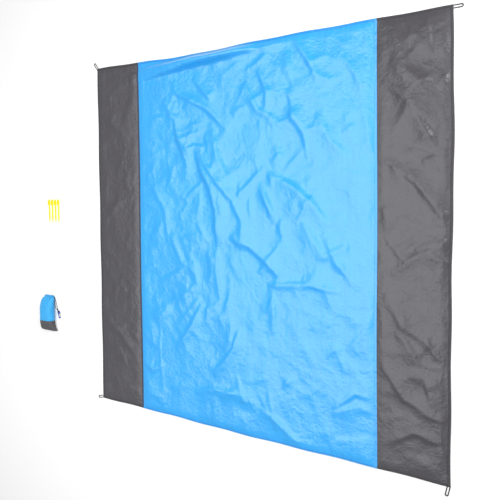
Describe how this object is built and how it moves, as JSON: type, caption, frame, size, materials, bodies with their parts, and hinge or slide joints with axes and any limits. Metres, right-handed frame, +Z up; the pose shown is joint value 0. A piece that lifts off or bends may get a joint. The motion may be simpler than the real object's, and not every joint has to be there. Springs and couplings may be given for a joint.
{
  "type": "camp blanket",
  "caption": "Thin nylon camp blanket in one light blue and two grey panels with corner webbing loops, hooked plastic pegs and a stuffed drawcord bag with a small carabiner.",
  "frame": {"origin": "on the ground under the middle of the centre panel of the spread blanket", "axes": "+X across the three panels, away from the pegs and bag; +Y along the seams to the blanket's far edge; +Z up"},
  "size_m": [2.7093, 2.0786, 0.054],
  "materials": {
    "blue_nylon": "satin",
    "grey_nylon": "satin",
    "blue_ripstop": "satin",
    "grey_bag_cloth": "matte",
    "black_webbing": "matte",
    "black_cord": "matte",
    "yellow_plastic": "satin",
    "blue_anodised": "satin",
    "gate_steel": "satin"
  },
  "bodies": {
    "blanket_centre": {"centre_panel": "blue_nylon", "centre_hem_top": "blue_nylon", "centre_hem_bottom": "blue_nylon", "left_seam": "grey_nylon", "right_seam": "grey_nylon"},
    "left_fold": {"left_panel": "grey_nylon", "left_hem_top": "grey_nylon", "left_hem_bottom": "grey_nylon", "left_hem_side": "grey_nylon"},
    "right_fold": {"right_panel": "grey_nylon", "right_hem_top": "grey_nylon", "right_hem_bottom": "grey_nylon", "right_hem_side": "grey_nylon"},
    "loop_top_left": {"loop_top_left": "black_webbing"},
    "loop_bottom_left": {"loop_bottom_left": "black_webbing"},
    "loop_top_right": {"loop_top_right": "black_webbing"},
    "loop_bottom_right": {"loop_bottom_right": "black_webbing"},
    "peg_1": {"peg_1": "yellow_plastic"},
    "peg_2": {"peg_2": "yellow_plastic"},
    "peg_3": {"peg_3": "yellow_plastic"},
    "peg_4": {"peg_4": "yellow_plastic"},
    "bag": {"bag_base": "grey_bag_cloth", "bag_upper": "blue_ripstop", "bag_mouth": "blue_ripstop", "cord_upper": "black_cord", "cord_lower": "black_cord"},
    "carabiner": {"cord_hitch": "black_cord", "cord_knot": "black_cord", "cord_tail_left": "black_cord", "cord_tail_right": "black_cord", "carabiner_body": "blue_anodised", "gate_rivet": "gate_steel"},
    "gate": {"carabiner_gate": "gate_steel", "gate_spring": "gate_steel"}
  },
  "joints": [
    {"name": "left_fold_hinge", "type": "hinge", "parent": "blanket_centre", "child": "left_fold", "pos_m": [-0.72415, 0, 0.008], "axis": [0, 1, 0], "range_deg": [0, 165]},
    {"name": "right_fold_hinge", "type": "hinge", "parent": "blanket_centre", "child": "right_fold", "pos_m": [0.72415, 0, 0.008], "axis": [0, -1, 0], "range_deg": [0, 165]},
    {"name": "loop_top_left_lift", "type": "hinge", "parent": "left_fold", "child": "loop_top_left", "pos_m": [-1.05018, 1.00024, 0.0016], "axis": [0.7986, 0.6018, 0], "range_deg": [0, 90]},
    {"name": "loop_bottom_left_lift", "type": "hinge", "parent": "left_fold", "child": "loop_bottom_left", "pos_m": [-1.05196, -0.992, 0.0016], "axis": [-0.2079, 0.9781, 0], "range_deg": [0, 90]},
    {"name": "loop_top_right_lift", "type": "hinge", "parent": "right_fold", "child": "loop_top_right", "pos_m": [1.0503, 0.992, 0.0016], "axis": [0, -1, 0], "range_deg": [0, 90]},
    {"name": "loop_bottom_right_lift", "type": "hinge", "parent": "right_fold", "child": "loop_bottom_right", "pos_m": [1.042, -1.0021, 0.0016], "axis": [-0.9744, 0.225, 0], "range_deg": [0, 90]},
    {"name": "peg_1_lift_off", "type": "slide", "parent": "blanket_centre", "child": "peg_1", "axis": [0, 0, 1], "range_m": [0, 0.1]},
    {"name": "peg_2_lift_off", "type": "slide", "parent": "blanket_centre", "child": "peg_2", "axis": [0, 0, 1], "range_m": [0, 0.1]},
    {"name": "peg_3_lift_off", "type": "slide", "parent": "blanket_centre", "child": "peg_3", "axis": [0, 0, 1], "range_m": [0, 0.1]},
    {"name": "peg_4_lift_off", "type": "slide", "parent": "blanket_centre", "child": "peg_4", "axis": [0, 0, 1], "range_m": [0, 0.1]},
    {"name": "bag_lift_off", "type": "slide", "parent": "blanket_centre", "child": "bag", "axis": [0, 0, 1], "range_m": [0, 0.1]},
    {"name": "carabiner_swing", "type": "hinge", "parent": "bag", "child": "carabiner", "pos_m": [-1.4618, -0.5005, 0.00555], "axis": [0, 0, 1], "range_deg": [-25, 25]},
    {"name": "gate_hinge", "type": "hinge", "parent": "carabiner", "child": "gate", "pos_m": [-1.44158, -0.54125, 0.00287], "axis": [0.0123, -0.0727, 0.9973], "range_deg": [0, 12], "stiffness_Nm_per_rad": 0.08, "springref_deg": -14.32}
  ]
}
